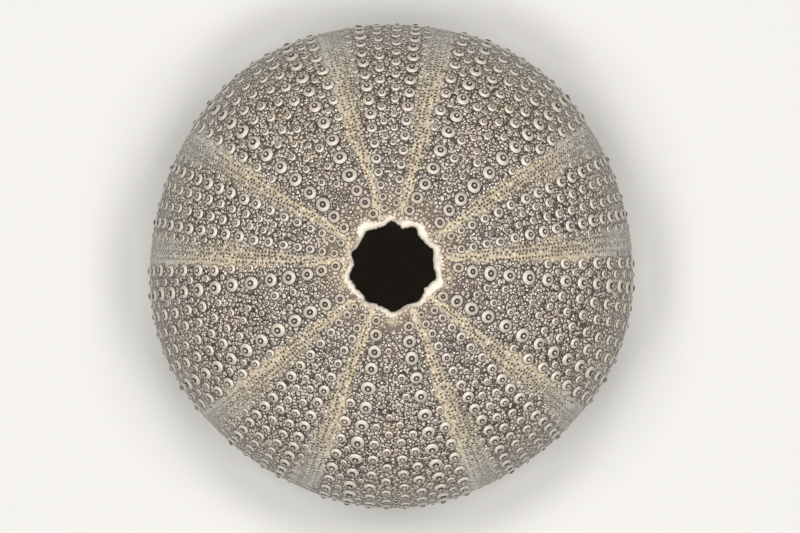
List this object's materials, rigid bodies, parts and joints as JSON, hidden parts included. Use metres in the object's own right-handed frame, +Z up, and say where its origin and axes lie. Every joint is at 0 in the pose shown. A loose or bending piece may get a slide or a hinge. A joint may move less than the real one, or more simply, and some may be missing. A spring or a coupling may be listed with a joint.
{
  "type": "sea urchin test",
  "caption": "Cleaned hollow shell of a regular sea urchin: a low dome of tubercled plates in five-rayed zones, open at the apex and at the mouth underneath.",
  "frame": {"origin": "on the resting plane, at the middle of the test's footprint, on the axis through the mouth and the apical hole", "axes": "+Z up along the axis from the mouth to the apical hole; +X and +Y in the resting plane, with one pore-bearing ray 19 degrees from +X towards +Y"},
  "size_m": [0.0601, 0.06, 0.0315],
  "materials": {
    "calcite": "matt chalky calcite, taupe ground with pale tubercles and cream pore bands"
  },
  "bodies": {
    "root": {"urchin_test": "calcite"}
  },
  "joints": []
}
